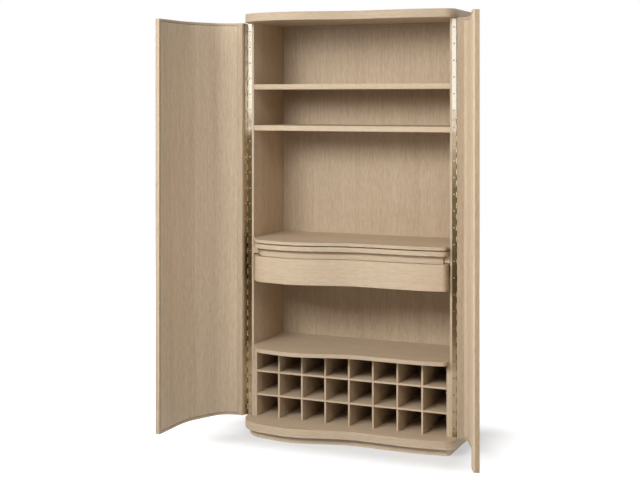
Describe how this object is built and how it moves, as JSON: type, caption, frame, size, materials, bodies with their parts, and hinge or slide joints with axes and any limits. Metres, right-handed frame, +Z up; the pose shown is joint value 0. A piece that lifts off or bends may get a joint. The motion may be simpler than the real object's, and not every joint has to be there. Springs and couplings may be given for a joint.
{
  "type": "tall bar cabinet",
  "caption": "Tall wooden bar cabinet with a serpentine front, curved full-height doors on continuous hinges, shelves, a pull-out tray, a drawer and a bottle rack.",
  "frame": {"origin": "on the floor, midway between the side panels, in the plane of their front edges", "axes": "+Z up, the cabinet faces -Y and its back is at +Y, +X to the right of someone who faces it"},
  "size_m": [1.5199, 0.8387, 2.007],
  "materials": {
    "oak": "washed oak veneer, matt",
    "oak_edge": "washed oak lipping, matt",
    "brass": "satin",
    "steel": "zinc plated"
  },
  "bodies": {
    "carcass": {"base_board": "oak", "top_board": "oak", "left_side": "oak", "right_side": "oak", "back_panel": "oak", "upper_shelf": "oak", "lower_shelf": "oak", "deck": "oak", "grip_rail": "oak", "rack_top": "oak", "plinth_front": "oak_edge", "plinth_left": "oak_edge", "plinth_right": "oak_edge", "plinth_back": "oak_edge", "plinth_stretcher": "oak_edge", "ceiling_cleat": "oak_edge", "left_bearer": "oak_edge", "right_bearer": "oak_edge", "rack_left": "oak_edge", "rack_right": "oak_edge", "rack_divider_1": "oak_edge", "rack_divider_2": "oak_edge", "rack_divider_3": "oak_edge", "rack_divider_4": "oak_edge", "rack_divider_5": "oak_edge", "rack_divider_6": "oak_edge", "rack_divider_7": "oak_edge", "rack_row_lower": "oak_edge", "rack_row_upper": "oak_edge", "left_cabinet_leaf": "brass", "left_hinge_pin": "brass", "right_cabinet_leaf": "brass", "right_hinge_pin": "brass", "slide_fixed_left": "steel", "slide_fixed_right": "steel"},
    "left_door": {"left_door_stile": "oak_edge", "left_door_core": "oak", "left_door_lipping": "oak_edge", "left_door_top": "oak_edge", "left_door_bottom": "oak_edge", "left_door_leaf": "brass"},
    "right_door": {"right_door_stile": "oak_edge", "right_door_core": "oak", "right_door_lipping": "oak_edge", "right_door_top": "oak_edge", "right_door_bottom": "oak_edge", "right_door_leaf": "brass"},
    "tray": {"tray": "oak"},
    "drawer_runners": {"slide_middle_left": "steel", "slide_middle_right": "steel"},
    "drawer": {"drawer_front": "oak_edge", "drawer_left": "oak_edge", "drawer_right": "oak_edge", "drawer_back": "oak_edge", "drawer_bottom": "oak_edge", "slide_drawer_left": "steel", "slide_drawer_right": "steel"}
  },
  "joints": [
    {"name": "left_door_hinge", "type": "hinge", "parent": "carcass", "child": "left_door", "pos_m": [-0.5256, -0.0018, 1.02], "axis": [0, 0, -1], "range_deg": [-106, 64]},
    {"name": "right_door_hinge", "type": "hinge", "parent": "carcass", "child": "right_door", "pos_m": [0.5256, -0.0018, 1.02], "axis": [0, 0, 1], "range_deg": [-107, 63]},
    {"name": "tray_slide", "type": "slide", "parent": "carcass", "child": "tray", "axis": [0, -1, 0], "range_m": [0, 0.25]},
    {"name": "runner_slide", "type": "slide", "parent": "carcass", "child": "drawer_runners", "axis": [0, -1, 0], "range_m": [0, 0.14]},
    {"name": "drawer_slide", "type": "slide", "parent": "drawer_runners", "child": "drawer", "axis": [0, -1, 0], "range_m": [0, 0.14]}
  ]
}
